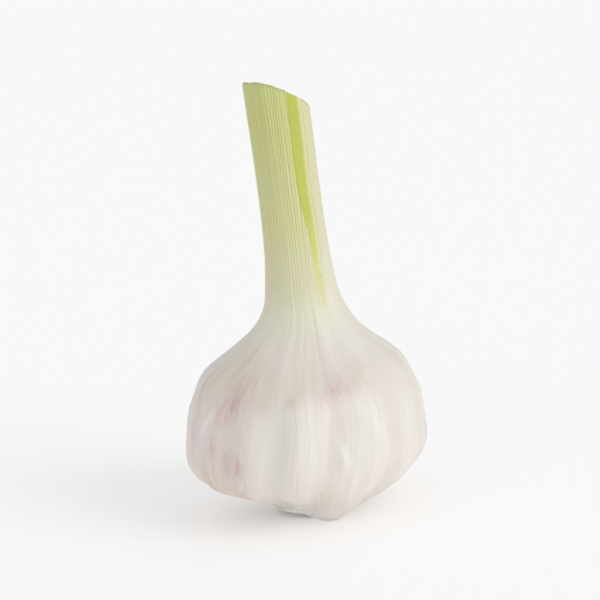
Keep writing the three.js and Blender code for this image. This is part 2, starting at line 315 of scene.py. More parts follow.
def vein_relief(azimuth, rise, pitch):
    """Where each place lies between the veins, in veins, and how far the vein there stands out."""
    wander = 0.35 * ripple(azimuth, rise, [(5, 60.0), (11, 25.0)], 3)
    lane = (azimuth - SLIT_AZIMUTH) / VEIN_TURN + wander
    strength = 0.55 + 0.45 * ripple(azimuth, rise, [(30, 50.0), (17, 30.0)], 4)
    ridge = (0.5 - 0.5 * np.cos(2.0 * math.pi * lane)) ** 1.6
    return lane, ridge * strength * np.interp(pitch, VEIN_PITCHES, VEIN_HEIGHTS)


# The rows of the bulb follow the outline from the torn foot in the root hollow up to the slit.
foot_share = float(np.interp(SLIT_FOOT, fine_outline[400:, 1], fine_share[400:]))
bulb_share = np.linspace(0.0, foot_share, BULB_ROWS)
outline = smooth_curve(BULB_OUTLINE, bulb_share)
step = 0.0005
ways = smooth_curve(BULB_OUTLINE, np.clip(bulb_share + step, 0.0, 1.0))
ways = ways - smooth_curve(BULB_OUTLINE, np.clip(bulb_share - step, 0.0, 1.0))
ways /= np.linalg.norm(ways, axis=1)[:, None]
radius, height = outline[:, :1], outline[:, 1:]
azimuth = SLIT_AZIMUTH + np.linspace(0.0, 360.0, COLUMNS + 1)[None, :]
leaf_rise = np.concatenate([[0.0], np.cumsum(np.linalg.norm(np.diff(outline, axis=0), axis=1))])[:, None]

pattern = pattern_azimuth(radius, height, azimuth)
valley, drawn_in, top_up = crease_at(pattern)
clove_top = clove_top_at(valley, top_up)
backed = 1.0 / (1.0 + np.exp((height - clove_top) / CLOVE_TOP_FADE))
below = np.clip((CLOVE_FOOT - height) / (CLOVE_FOOT - CLOVE_BOTTOM), 0.0, 1.0)
sunk = valley * (CREASE_DEPTH + (CREASE_DEPTH_BELOW - CREASE_DEPTH) * below)
sunk = sunk * backed * smoothstep(radius, *CREASE_OPENS)
underneath = np.clip((DRAWN_IN_TOP - height) / (DRAWN_IN_TOP - CLOVE_BOTTOM), 0.0, 1.0)
follows = FOOT_SHARE + (1.0 - FOOT_SHARE) * smoothstep(radius, *FOOT_FOLLOWS)
sunk = sunk + drawn_in * underneath * follows
sunk = sunk + HOLLOW_DEPTH * np.exp(-(((height - clove_top - HOLLOW_ABOVE) / HOLLOW_REACH) ** 2))

bulb_pitch = 2.0 * math.pi * radius / VEINS
vein_from = vein_azimuth(radius, height, pattern)
lane, ridge = vein_relief(vein_from, leaf_rise, bulb_pitch)
uneven = LEAF_UNEVENNESS * ripple(vein_from, leaf_rise, [(9, 40.0), (22, 30.0)], 5)
uneven = uneven * smoothstep(radius, 9.0, 16.0)
puckers = PUCKER_HEIGHT * ripple(vein_from, leaf_rise, [(48, 60.0)], 6) * (0.3 + 0.7 * valley)
# A fold of the leaf runs down the front: the leaf steps out to the right of it.
fold_from = past(pattern, FOLD_AZIMUTH)
fold = FOLD_STEP * smoothstep(fold_from, -0.5, 0.4) * (1.0 - smoothstep(fold_from, 2.0, 16.0))
fold = fold * smoothstep(height, 3.0, 8.0) * (1.0 - smoothstep(height, 30.0, 34.0))
pleats = np.zeros_like(pattern)
for middle, width, lowest, highest, lift in PLEATS:
    away = past(pattern, middle)
    level = (height - (lowest + highest) / 2.0) / ((highest - lowest) / 2.0)
    pleats += lift * np.exp(-((away / width) ** 2) - level ** 4)
out = ridge + uneven + puckers + fold + pleats - sunk
out_height = np.maximum(height - ways[:, :1] * out, 0.0)
out_radius = radius + ways[:, 1:] * out
bulb_points = stem_point(azimuth, out_height, out_radius)
bulb_rise = leaf_rise + 0.0 * azimuth

# The rows of the stem run from the slit's foot up to the slanted cut. Near the slit the columns
# lean aside from it, and the others stay where they are.
SLIT_LEAN_REACH = 30.0
turn = np.linspace(0.0, 360.0, COLUMNS + 1)
beside_right = np.exp(-turn / SLIT_LEAN_REACH)
beside_left = np.exp((turn - 360.0) / SLIT_LEAN_REACH)
top_azimuth = SLIT_AZIMUTH + turn + SLIT_OPEN_RIGHT[-1][0] * beside_right
top_azimuth = top_azimuth - SLIT_OPEN_LEFT[-1][0] * beside_left
ragged = CUT_RAGGEDNESS * ripple(top_azimuth, 0.0, [(16, 10.0), (44, 10.0)], 7)
stem_top = cut_height(top_azimuth, 0.0) + ragged
for middle, width, lift in CUT_JAGS:
    stem_top = stem_top + lift * np.exp(-((past(top_azimuth, middle) / width) ** 2))
stem_share = np.append(np.linspace(0.0, 0.98, STEM_ROWS - 1)[1:], [0.992, 1.0])[:, None]
stem_height = SLIT_FOOT + (stem_top - SLIT_FOOT) * stem_share
stem_azimuth = SLIT_AZIMUTH + turn + along(SLIT_OPEN_RIGHT, stem_height) * beside_right
stem_azimuth = stem_azimuth - along(SLIT_OPEN_LEFT, stem_height) * beside_left
stem_radius = radius_at(stem_height)
stem_rise = leaf_rise[-1] + stem_height - SLIT_FOOT
stem_pitch = 2.0 * math.pi * stem_radius / VEINS
wall = sheath_wall(stem_azimuth, stem_height)
stem_lane, stem_ridge = vein_relief(stem_azimuth, stem_rise, stem_pitch)
stem_uneven = STEM_UNEVENNESS * ripple(stem_azimuth, stem_rise, [(5, 70.0), (12, 60.0)], 8)
stem_out = stem_ridge + stem_uneven * smoothstep(stem_height, SLIT_FOOT, SLIT_FOOT + 8.0)
stem_out = stem_out * smoothstep(wall, 0.05, 0.8)
stem_points = stem_point(stem_azimuth, stem_height, stem_radius + stem_out)
inner_points = stem_point(stem_azimuth, stem_height, stem_radius - wall)
rim_rows = [
    stem_points[-1] + (inner_points[-1] - stem_points[-1]) * share + RIM_RISE
    for share in (0.2, 0.8)
]

# The foot of the leaf: it turns up round the root plate as a thin torn edge and the hollow's wall.
torn = TORN_DEPTH * ripple(azimuth[0], 0.0, [(30, 10.0), (60, 10.0)], 9)
lip = bulb_points[0, :, 2]
foot_rings = [
    (8.62, 3.0 + 0.0 * lip), (8.60, np.minimum(lip + 0.9, 2.9)), (8.52, lip + 0.30 + 0.5 * torn),
    (8.48, lip + 0.02 + torn), (8.56, lip - 0.04 + torn),
]
foot_rows = [
    stem_point(azimuth[0], np.maximum(level, 0.02), ring_radius) for ring_radius, level in foot_rings
]

# Below the slit the inside of the sheath goes on down to the floor of its bore.
bore_heights = np.linspace(SLIT_FOOT - 0.8, BORE_FLOOR, BORE_ROWS)[:, None]
bore_azimuth = azimuth + 0.0 * bore_heights
bore_radius = radius_at(bore_heights) - sheath_wall(bore_azimuth, bore_heights)
bore_points = stem_point(bore_azimuth, bore_heights, bore_radius)
foot_height = np.full((1, COLUMNS + 1), SLIT_FOOT)
foot_wall = stem_point(azimuth, foot_height, radius_at(foot_height) - sheath_wall(azimuth, foot_height))


SHARP_ANGLE = math.radians(60.0)
# How many millimetres along the leaf one unit of the UV map and of the finish's grain takes.
UV_LENGTH = 100.0
GRAIN_LENGTH = 30.0


def mesh_object(name, points, faces, corner_uv=None, values=None):
    """A smooth mesh object from points in millimetres, with a UV map and named point values."""
    mesh = bpy.data.meshes.new(name)
    mesh.from_pydata((np.asarray(points) * MM).tolist(), [], faces)
    mesh.polygons.foreach_set("use_smooth", np.ones(len(mesh.polygons), bool))
    mesh.set_sharp_from_angle(angle=SHARP_ANGLE)
    if corner_uv is not None:
        layer = mesh.uv_layers.new(name="along_leaf")
        layer.uv.foreach_set("vector", np.asarray(corner_uv, np.float32).ravel())
    for key, value in (values or {}).items():
        kind = "FLOAT" if np.ndim(value) == 1 else "FLOAT_VECTOR"
        field = "value" if kind == "FLOAT" else "vector"
        attribute = mesh.attributes.new(key, kind, "POINT")
        attribute.data.foreach_set(field, np.asarray(value, np.float32).ravel())
    piece = bpy.data.objects.new(name, mesh)
    bpy.context.collection.objects.link(piece)
    return piece


class Sheet:
    """Rows of points that are joined into quads. Every row has the same columns. A closed row's
    last point is its first one again, and each point keeps its own place in the leaf's pattern."""

    def __init__(self):
        self.points, self.lanes, self.rises, self.faces, self.same = [], [], [], [], []

    def row(self, points, lane, rise, closed):
        first = len(self.points)
        self.points.extend(points)
        self.lanes.extend(lane)
        self.rises.extend(np.broadcast_to(rise, np.shape(lane)))
        self.same.extend(range(first, first + len(points)))
        if closed:
            self.same[-1] = first
        return np.arange(first, first + len(points))

    def strip(self, lower, upper):
        for k in range(len(lower) - 1):
            self.faces.append((lower[k], lower[k + 1], upper[k + 1], upper[k]))

    def fill(self, ring, centre):
        first = len(self.points)
        self.points.append(centre)
        self.lanes.append(self.lanes[ring[0]])
        self.rises.append(self.rises[ring[0]])
        self.same.append(first)
        for k in range(len(ring) - 1):
            self.faces.append((first, ring[k + 1], ring[k]))

    def piece(self, name, values_at=None):
        kept = sorted(set(self.same))
        number = {old: new for new, old in enumerate(kept)}
        faces = [[number[self.same[corner]] for corner in face] for face in self.faces]
        corners = np.concatenate([np.asarray(face) for face in self.faces])
        across, lengthwise = np.asarray(self.lanes)[corners], np.asarray(self.rises)[corners]
        uv = np.stack([across / VEINS, lengthwise / UV_LENGTH], axis=-1)
        points = np.asarray(self.points)[kept]
        values = values_at(points, np.asarray(self.rises)[kept]) if values_at else None
        return mesh_object(name, points, faces, uv, values)


leaf = Sheet()
foot_lane = lane[0]
rows = [leaf.row(points, foot_lane, -1.0, True) for points in foot_rows]
leaf.fill(rows[0], np.array([0.0, 0.0, 3.0]))
rows += [leaf.row(bulb_points[r], lane[r], bulb_rise[r], True) for r in range(BULB_ROWS)]
outer = [leaf.row(stem_points[r], stem_lane[r], stem_rise[r], False) for r in range(STEM_ROWS)]
rows += outer
rims = [leaf.row(points, stem_lane[-1], stem_rise[-1], False) for points in rim_rows]
inner = [leaf.row(inner_points[r], stem_lane[r], stem_rise[r], False) for r in range(STEM_ROWS)]
wall_foot = leaf.row(foot_wall[0], lane[-1], leaf_rise[-1, 0], True)
bore = [leaf.row(points, lane[-1], leaf_rise[-1, 0], True) for points in bore_points]
rows += rims + inner[::-1] + [wall_foot] + bore
for lower, upper in zip(rows[:-1], rows[1:]):
    leaf.strip(lower, upper)
bore_middle = np.mean(bore_points[-1], axis=0)
leaf.fill(bore[-1][::-1], bore_middle)
slit_outer = [rows[len(foot_rows) + BULB_ROWS - 1]] + outer
slit_inner = [wall_foot] + inner
for r in range(STEM_ROWS):
    leaf.faces.append((slit_outer[r][0], slit_outer[r + 1][0], slit_inner[r + 1][0], slit_inner[r][0]))
    leaf.faces.append((slit_inner[r][-1], slit_inner[r + 1][-1], slit_outer[r + 1][-1], slit_outer[r][-1]))
leaf.faces.append((outer[-1][0], rims[0][0], rims[1][0], inner[-1][0]))
leaf.faces.append((inner[-1][-1], rims[1][-1], rims[0][-1], outer[-1][-1]))

# Where the leaf is flushed with pink, stained brown, or shows tan from under it, and where it has a
# cool white film. The last list is painted light: whiter patches for highlights and over the shaded
# foot. Each entry is (azimuth, height, width in degrees, height in millimetres, lean in degrees a
# millimetre, strength).
BLUSHES = [
    (230.3, 33.8, 1.1, 4.6, 1.15, 0.55), (231.5, 34.4, 8.5, 4.4, 1.0, 0.70),
    (223.0, 33.0, 6.0, 4.6, 0.8, 0.40), (288.0, 36.2, 3.6, 1.1, 1.6, 0.30),
    (288.8, 36.0, 8.6, 3.1, 1.6, 0.62), (293.6, 35.6, 3.0, 1.0, 1.6, 0.28),
    (281.5, 35.4, 3.6, 2.4, 1.2, 0.32), (234.6, 19.2, 1.5, 1.9, 0.0, 1.3),
    (230.8, 18.7, 7.5, 3.2, 0.0, 0.55), (218.0, 22.8, 2.4, 3.0, 0.0, 0.65),
    (226.5, 20.5, 3.0, 2.4, 0.0, 0.45), (222.0, 24.5, 9.0, 6.0, 0.0, 0.28),
    (206.0, 24.0, 8.0, 6.0, 0.0, 0.22), (236.0, 26.5, 4.0, 4.5, 0.3, 0.28),
    (199.0, 33.0, 2.8, 4.5, -0.9, 0.55), (197.0, 25.5, 3.5, 4.0, 0.5, 0.45),
    (231.0, 12.5, 8.0, 4.0, 0.0, 0.46), (208.0, 14.0, 9.0, 4.0, 0.0, 0.32),
    (24.0, 34.0, 5.0, 3.0, -0.6, 0.8), (36.0, 33.0, 4.0, 3.0, -0.6, 0.5),
    (60.0, 20.0, 3.0, 3.0, 0.0, 0.7), (104.0, 34.0, 4.0, 3.6, 0.6, 0.9),
    (112.0, 32.0, 5.0, 3.0, 0.6, 0.5), (140.0, 24.0, 3.0, 4.0, 0.0, 0.7),
    (165.0, 34.0, 4.0, 3.0, 0.6, 0.6), (174.0, 18.0, 3.0, 3.0, 0.0, 0.6),
    (352.0, 18.0, 2.5, 2.5, 0.0, 0.5),
]
STAINS = [
    (228.2, 10.0, 2.2, 0.8, 0.0, 1.3), (228.5, 11.0, 4.5, 2.2, 0.0, 0.5),
    (208.0, 10.0, 8.0, 3.5, 0.0, 0.3), (228.0, 4.0, 8.0, 2.0, 0.0, 0.4),
    (262.1, 34.2, 2.0, 1.2, 0.0, 0.3), (186.0, 5.0, 8.0, 2.5, 0.0, 0.6),
    (304.5, 17.6, 0.45, 0.35, 0.0, 0.8), (20.0, 6.0, 8.0, 3.0, 0.0, 0.6),
    (95.0, 5.0, 10.0, 2.5, 0.0, 0.7), (150.0, 6.0, 7.0, 3.0, 0.0, 0.6), (332.0, 5.0, 6.0, 2.0, 0.0, 0.4),
]
TANS = [
    (196.3, 36.5, 2.6, 4.5, -0.7, 0.9), (205.0, 39.0, 9.0, 4.0, -0.5, 0.6),
    (221.0, 44.0, 15.0, 4.5, 0.0, 0.75), (228.0, 38.5, 18.0, 4.5, 0.0, 0.75),
    (262.1, 34.3, 4.0, 1.6, 0.0, 0.6), (248.0, 33.6, 7.0, 1.8, 0.0, 0.4),
    (262.0, 37.0, 16.0, 3.0, 0.0, 0.45), (288.0, 38.0, 12.0, 2.6, 0.0, 0.2),
    (303.0, 37.9, 4.8, 2.8, 2.0, 0.8), (309.0, 35.0, 3.4, 2.0, 1.0, 0.6),
    (295.0, 41.0, 10.0, 4.0, 0.0, 0.15), (190.0, 9.5, 12.0, 4.0, 0.0, 0.6),
    (212.0, 14.0, 12.0, 6.0, 0.0, 1.0), (240.0, 8.0, 12.0, 5.0, 0.0, 0.25),
    (300.0, 5.0, 20.0, 4.0, 0.0, 0.2), (277.0, 11.5, 8.0, 5.0, 0.0, 0.6),
    (40.0, 38.0, 18.0, 5.0, 0.0, 0.5), (100.0, 40.0, 20.0, 6.0, 0.0, 0.6),
    (155.0, 38.0, 14.0, 6.0, 0.0, 0.6),
]
FILMS = [
    (199.0, 20.5, 6.0, 5.0, 0.0, 0.9), (186.0, 38.5, 7.0, 4.0, -0.7, 0.9),
    (213.0, 27.0, 4.0, 4.0, 0.6, 0.5), (253.4, 34.2, 1.8, 1.8, 0.0, 0.7),
    (221.0, 25.0, 8.0, 4.0, 0.0, 0.5), (20.0, 24.0, 12.0, 8.0, 0.0, 0.5),
    (130.0, 30.0, 9.0, 7.0, 0.0, 0.6),
]
# Painted highlights on the clove crests, the shoulder and the neck, and painted light over the shaded foot
# at the front.
PAINTED_LIGHTS = [
    (213.4, 28.4, 1.8, 2.8, 1.0, 1.2), (240.6, 26.0, 1.5, 3.0, 0.0, 1.0),
    (286.9, 20.8, 1.8, 3.4, -0.4, 1.1), (306.8, 24.6, 3.0, 4.6, -0.7, 1.0),
    (291.2, 13.8, 0.7, 2.6, 0.0, 0.7), (327.0, 24.0, 3.0, 5.0, 0.0, 0.2),
    (284.0, 12.5, 6.0, 4.0, 0.0, 0.35), (247.0, 1.6, 30.0, 2.8, 0.0, 1.9),
    (297.5, 47.0, 9.0, 4.5, 0.0, 0.5), (218.0, 50.0, 5.0, 2.5, 0.0, 0.4),
    (318.0, 42.0, 14.0, 5.0, 0.0, 0.4), (272.0, 22.0, 1.5, 8.0, 0.0, 0.3),
    (62.0, 26.0, 2.0, 4.0, 0.0, 0.6), (118.0, 25.0, 2.0, 4.0, 0.0, 0.6), (7.0, 24.0, 2.0, 4.0, 0.0, 0.5),
]


def patches(places, turn, height):
    """How strong the soft spots of one of these lists are at each place."""
    total = np.zeros_like(height)
    for middle, level, width, tall, lean, strength in places:
        sideways = past(turn, middle + lean * (height - level))
        total += strength * np.exp(-((sideways / width) ** 2) - ((height - level) / tall) ** 2)
    return np.clip(total, 0.0, 1.3)


def grain_at(turn, rises):
    """A place in the finish's noise that closes on itself round the leaf and goes on along it."""
    return np.stack([np.cos(turn), np.sin(turn), rises / GRAIN_LENGTH], axis=-1)


def leaf_values(points, rises):
    """What the finish needs to know at each point of the leaf."""
    x = points[:, 0] - along(CENTRE_SHIFT, points[:, 2])
    turn = np.degrees(np.arctan2(points[:, 1], x)) % 360.0
    height = points[:, 2]
    spread = np.hypot(x, points[:, 1])
    pattern = pattern_azimuth(spread, height, turn)
    vein_from = np.radians(vein_azimuth(spread, height, pattern))
    valley, _, top_up = crease_at(pattern)
    tops = clove_top_at(valley, top_up) + 1.0
    past_slit = past(turn, SLIT_AZIMUTH)
    pale_side = smoothstep(past_slit, 0.0, 9.0) * (1.0 - smoothstep(past_slit, 60.0, 110.0))
    green = np.interp(height, [42.0, 50.0, 60.0, 76.0, 100.0], [0.0, 0.18, 0.48, 0.75, 1.0])
    # Round and under the slit's foot the green of the young leaf shows through.
    strip_middle = np.interp(height, [48.0, 51.0, 54.5, 58.0], [-11.0, -8.5, -3.5, 0.8])
    strip_half = np.interp(height, [50.0, 58.0], [5.0, 8.5])
    from_strip = np.abs(past_slit - strip_middle)
    show_through = 1.0 - smoothstep(from_strip, strip_half - 2.5, strip_half + 2.0)
    show_through = show_through * np.interp(
        height, [47.5, 51.0, 57.0, 60.0, 64.0, 68.0], [0.0, 0.28, 0.75, 1.0, 1.0, 0.0]
    )
    to_cut = CUT_HEIGHT + CUT_SLOPE_X * (points[:, 0] - 1.0) + CUT_SLOPE_Y * points[:, 1] - height
    fold_from = past(pattern, FOLD_AZIMUTH)
    on_fold = smoothstep(height, 12.0, 26.0) * (1.0 - smoothstep(height, 32.5, 35.0))
    return {
        "green": green * (1.0 - 0.45 * pale_side),
        "pale_side": pale_side * np.interp(height, [60.0, 95.0], [0.0, 1.0]),
        "show_through": show_through,
        "panel": on_fold * smoothstep(fold_from, -0.4, 0.3) * (1.0 - smoothstep(fold_from, 5.0, 16.0)),
        "shade": on_fold * (1.0 - smoothstep(fold_from, -0.4, 0.3)) * smoothstep(fold_from, -16.0, -9.0),
        "backed": 1.0 / (1.0 + np.exp((height - tops) / 1.0)),
        "valley": valley * smoothstep(spread, 9.0, 14.0) * (height < 40.0),
        "blush": patches(BLUSHES, turn, height),
        "stain": patches(STAINS, turn, height),
        "tan": patches(TANS, turn, height),
        "film": patches(FILMS, turn, height),
        "painted_light": patches(PAINTED_LIGHTS, turn, height),
        "cut_edge": 1.0 - smoothstep(to_cut, 0.1, 0.7),
        "pitch": 2.0 * math.pi * spread / VEINS,
        "grain": grain_at(vein_from, rises),
    }


outer_leaf = leaf.piece("outer_leaf", leaf_values)
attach(outer_leaf, "root")
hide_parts("bulb")


def colour(red, green, blue):
    """A colour as it looks on a screen, 0 to 255, in the linear form that a shader takes."""
    parts = [value / 255.0 for value in (red, green, blue)]
    return tuple(v / 12.92 if v <= 0.04045 else ((v + 0.055) / 1.055) ** 2.4 for v in parts) + (1.0,)


def new_finish(name):
    material = bpy.data.materials.new(name)
    material.use_nodes = True
    return material, material.node_tree.nodes["Principled BSDF"]


def feed(material, socket, source):
    """Gives a socket another node's output, or a plain value. None leaves it as it is."""
    if isinstance(source, bpy.types.NodeSocket):
        material.node_tree.links.new(source, socket)
    elif source is not None:
        socket.default_value = source


def node(material, kind, *sources, output=0, **settings):
    """Adds a node with these settings, feeds its sockets in order, and gives back its output."""
    made = material.node_tree.nodes.new(kind)
    for key, value in settings.items():
        setattr(made, key, value)
    for socket, source in zip(made.inputs, sources):
        feed(material, socket, source)
    return made.outputs[output]


def maths(material, operation, *sources, clamp=False):
    return node(material, "ShaderNodeMath", *sources, operation=operation, use_clamp=clamp)


def times(material, one, other):
    return maths(material, "MULTIPLY", one, other)


def mixed(material, share, one, other, way="MIX"):
    """Lays one colour over another one, by a share from 0 to 1."""
    made = material.node_tree.nodes.new("ShaderNodeMix")
    made.data_type = "RGBA"
    made.blend_type = way
    feed(material, made.inputs[0], share)
    feed(material, made.inputs[6], one)
    feed(material, made.inputs[7], other)
    return made.outputs[2]


def ranged(material, value, low, high, out_low, out_high, way="SMOOTHSTEP"):
    sources = (value, low, high, out_low, out_high)
    return node(material, "ShaderNodeMapRange", *sources, interpolation_type=way)


def known(material, name):
    """One of the values that the mesh holds at each point."""
    return node(material, "ShaderNodeAttribute", attribute_name=name, output=2)


def ramp(material, share, stops):
    """A colour that runs smoothly through the given ones: (share, colour)."""
    made = material.node_tree.nodes.new("ShaderNodeValToRGB")
    made.color_ramp.interpolation = "EASE"
    marks = made.color_ramp.elements
    while len(marks) < len(stops):
        marks.new(0.5)
    for mark, (place_on, tint) in zip(marks, stops):
        mark.position = place_on
        mark.color = tint
    feed(material, made.inputs[0], share)
    return made.outputs[0]


def streaks(material, around, lengthwise, detail, roughness=0.5):
    """Noise drawn out along the leaf: so many patches round it, and so many in a grain's length."""
    grain = node(material, "ShaderNodeAttribute", attribute_name="grain", output=1)
    scale = (around / FULL_TURN, around / FULL_TURN, lengthwise)
    stretched = node(material, "ShaderNodeVectorMath", grain, scale, operation="MULTIPLY")
    sources = (stretched, None, 1.0, detail, roughness)
    return node(material, "ShaderNodeTexNoise", *sources, noise_dimensions="3D")


def vein_lines(material, count, width_mm, seed, shift=0.0, unevenness=0.36):
    """Lines along the veins: how near each place is to one, and a number drawn for each line,
    which lies a little aside from its even place."""
    uv = node(material, "ShaderNodeUVMap", uv_map="along_leaf")
    split = material.node_tree.nodes.new("ShaderNodeSeparateXYZ")
    feed(material, split.inputs[0], uv)
    lane_here = maths(material, "MULTIPLY_ADD", split.outputs[0], float(count), shift)
    which = maths(material, "FLOORED_MODULO", maths(material, "FLOOR", lane_here), float(count))
    part = maths(material, "FRACT", lane_here)
    drawn = maths(material, "ADD", which, seed + 0.5)
    strength = node(material, "ShaderNodeTexWhiteNoise", None, drawn, noise_dimensions="1D")
    drawn_aside = maths(material, "ADD", which, seed + 1000.5)
    aside = node(material, "ShaderNodeTexWhiteNoise", None, drawn_aside, noise_dimensions="1D")
    centre = maths(material, "MULTIPLY_ADD", aside, unevenness, 0.5 - unevenness / 2.0)
    off = maths(material, "ABSOLUTE", maths(material, "SUBTRACT", part, centre))
    pitch = times(material, known(material, "pitch"), VEINS / count)
    reach = maths(material, "DIVIDE", width_mm / 2.0, pitch)
    near = maths(material, "SUBTRACT", 1.0, maths(material, "DIVIDE", off, reach), clamp=True)
    return near, strength


def fine_relief(material, shader, height, strength, distance):
    """Relief too fine for the mesh, which only turns the light."""
    lift = material.node_tree.nodes.new("ShaderNodeBump")
    lift.inputs["Strength"].default_value = strength
    lift.inputs["Distance"].default_value = distance
    feed(material, lift.inputs["Height"], height)
    feed(material, shader.inputs["Normal"], lift.outputs[0])


skin, skin_shader = new_finish("fresh_garlic_skin")
major, major_strength = vein_lines(skin, VEINS, 0.36, 11.0)
minor, minor_strength = vein_lines(skin, VEINS * 3, 0.26, 41.0)
pale, pale_strength = vein_lines(skin, 70, 0.40, 71.0, unevenness=0.2)
groove, groove_strength = vein_lines(skin, 70, 0.26, 90.0, shift=0.5, unevenness=0.2)
broad = streaks(skin, 46.0, 0.9, 2.0)
tone = streaks(skin, 84.0, 0.7, 1.0)
fine = streaks(skin, 260.0, 1.6, 3.0)
cloudy = streaks(skin, 18.0, 3.0, 4.0)
on_stem = ranged(skin, known(skin, "green"), 0.05, 0.75, 0.0, 1.0)
off_stem = maths(skin, "SUBTRACT", 1.0, on_stem)

# The leaf is paler over the cloves, with an uneven edge, and each strip between two veins has its
# own tone.
edge_noise = streaks(skin, 60.0, 4.0, 3.0)
near_edge = maths(skin, "SUBTRACT", edge_noise, 0.5)
near_edge = maths(skin, "MULTIPLY_ADD", near_edge, 1.6, known(skin, "backed"))
on_clove = ranged(skin, near_edge, -0.1, 1.1, 0.0, 1.0)
base = mixed(skin, on_clove, colour(229, 223, 215), colour(232, 226, 221))
base = mixed(skin, ranged(skin, tone, 0.50, 0.68, 0.0, 0.38), base, colour(233, 223, 210))
base = mixed(skin, ranged(skin, tone, 0.50, 0.32, 0.0, 0.38), base, colour(227, 222, 221))
base = mixed(skin, ranged(skin, broad, 0.35, 0.65, 0.0, 0.18), base, colour(221, 213, 204))
# Painted shade: the colour is darker down in the creases between the cloves.
base = mixed(skin, ranged(skin, known(skin, "valley"), 0.2, 1.0, 0.0, 0.35), base, colour(219, 210, 201))
base = mixed(skin, times(skin, known(skin, "panel"), 0.45), base, colour(241, 235, 232))
base = mixed(skin, times(skin, known(skin, "shade"), 0.18), base, colour(219, 215, 211))
tanned = times(skin, known(skin, "tan"), ranged(skin, broad, 0.35, 0.62, 0.25, 0.75))
base = mixed(skin, tanned, base, colour(214, 200, 180))
base = mixed(skin, times(skin, known(skin, "film"), 0.5), base, colour(221, 222, 221))
stem_green = ramp(skin, known(skin, "green"), [
    (0.0, colour(230, 224, 214)), (0.18, colour(227, 224, 204)), (0.48, colour(215, 214, 177)),
    (0.75, colour(206, 208, 148)), (1.0, colour(198, 202, 128)),
])
base = mixed(skin, ranged(skin, known(skin, "green"), 0.0, 0.16, 0.0, 1.0), base, stem_green)
base = mixed(skin, times(skin, known(skin, "pale_side"), 0.6), base, colour(216, 214, 158))

# The veins: fine gold lines over the cloves, a few of them stronger, and pale stripes with olive
# grooves between them up the stem.
gold = ranged(skin, major_strength, 0.2, 0.9, 0.0, 0.7)
gold = times(skin, gold, ranged(skin, broad, 0.25, 0.6, 0.5, 1.0))
gold = times(skin, times(skin, major, gold), off_stem)
base = mixed(skin, gold, base, colour(227, 212, 190))
white = ranged(skin, minor_strength, 0.4, 1.0, 0.0, 0.6, "LINEAR")
white = times(skin, white, ranged(skin, known(skin, "pitch"), 0.9, 2.2, 0.0, 1.0))
base = mixed(skin, times(skin, minor, white), base, colour(240, 235, 230))
stripe = ranged(skin, pale_strength, 0.0, 1.0, 0.35, 1.0, "LINEAR")
stripe = times(skin, times(skin, pale, stripe), on_stem)
stripe_tint = ramp(skin, known(skin, "green"), [
    (0.3, colour(234, 232, 212)), (0.75, colour(225, 227, 182)), (1.0, colour(219, 222, 162)),
])
base = mixed(skin, stripe, base, stripe_tint)
olive = ranged(skin, groove_strength, 0.0, 1.0, 0.25, 1.0, "LINEAR")
olive = times(skin, times(skin, groove, olive), on_stem)
olive_tint = ramp(skin, known(skin, "green"), [
    (0.3, colour(206, 200, 172)), (0.75, colour(182, 180, 116)), (1.0, colour(168, 174, 92)),
])
tan_grooves = ranged(skin, groove_strength, 0.45, 0.9, 0.0, 0.6)
olive_tint = mixed(skin, tan_grooves, olive_tint, colour(196, 174, 126))
base = mixed(skin, olive, base, olive_tint)
through_tint = ramp(skin, known(skin, "green"), [
    (0.12, colour(226, 222, 190)), (0.3, colour(219, 218, 158)), (0.6, colour(211, 215, 122)),
])
base = mixed(skin, times(skin, known(skin, "show_through"), 0.9), base, through_tint)
base = mixed(skin, ranged(skin, fine, 0.40, 0.75, 0.0, 0.12), base, colour(214, 204, 190), "MULTIPLY")

# The pink flush is mottled along the veins, the stains are cloudy, and the painted highlights are whitest.
mottled = streaks(skin, 170.0, 9.0, 3.0, 0.6)
flush = times(skin, known(skin, "blush"), ranged(skin, mottled, 0.32, 0.68, 0.4, 1.05))
flush = ranged(skin, flush, 0.0, 1.0, 0.0, 0.6, "LINEAR")
flush_tint = mixed(skin, known(skin, "backed"), colour(199, 158, 163), colour(207, 151, 149))
base = mixed(skin, flush, base, flush_tint)
stained = times(skin, known(skin, "stain"), ranged(skin, cloudy, 0.36, 0.62, 0.3, 0.6))
base = mixed(skin, stained, base, colour(174, 140, 114))
# Painted highlights and painted light: whiter patches where the light catches the skin or lifts the shaded
# foot.
painted_light_share = times(skin, known(skin, "painted_light"), ranged(skin, tone, 0.3, 0.6, 0.3, 0.75))
base = mixed(skin, painted_light_share, base, colour(243, 240, 237))
base = mixed(skin, times(skin, known(skin, "cut_edge"), 0.5), base, colour(168, 172, 112))
feed(skin, skin_shader.inputs["Base Color"], base)

dullness = ranged(skin, fine, 0.3, 0.7, 0.34, 0.50, "LINEAR")
feed(skin, skin_shader.inputs["Roughness"], dullness)
skin_shader.inputs["Specular IOR Level"].default_value = 0.45
relief = times(skin, minor, 0.35)
relief = maths(skin, "ADD", relief, times(skin, fine, 0.9))
relief = maths(skin, "ADD", relief, times(skin, major, 0.25))
fine_relief(skin, skin_shader, relief, 0.5, 0.00012)
outer_leaf.data.materials.append(skin)


# The younger leaves are rolled tightly inside the outer one, each a thin green sheath with fine
# veins. The outermost fills the slit almost level with the outer leaf, so it shows there as a
# bright strip, and all of them show as rings at the cut.
INNER_LEAVES = 5
INNER_COLUMNS = 180
OUTSIDE_ROWS = 60
INSIDE_ROWS = 8
INNER_THICKNESS = 0.85
INNER_STEP = 1.12
INNER_GAP = 0.32
INNER_FLOOR = 48.0
INNER_FLOOR_STEP = 1.0
RIB_HEIGHT = 0.03
LEAF_CLEARANCE = 0.02


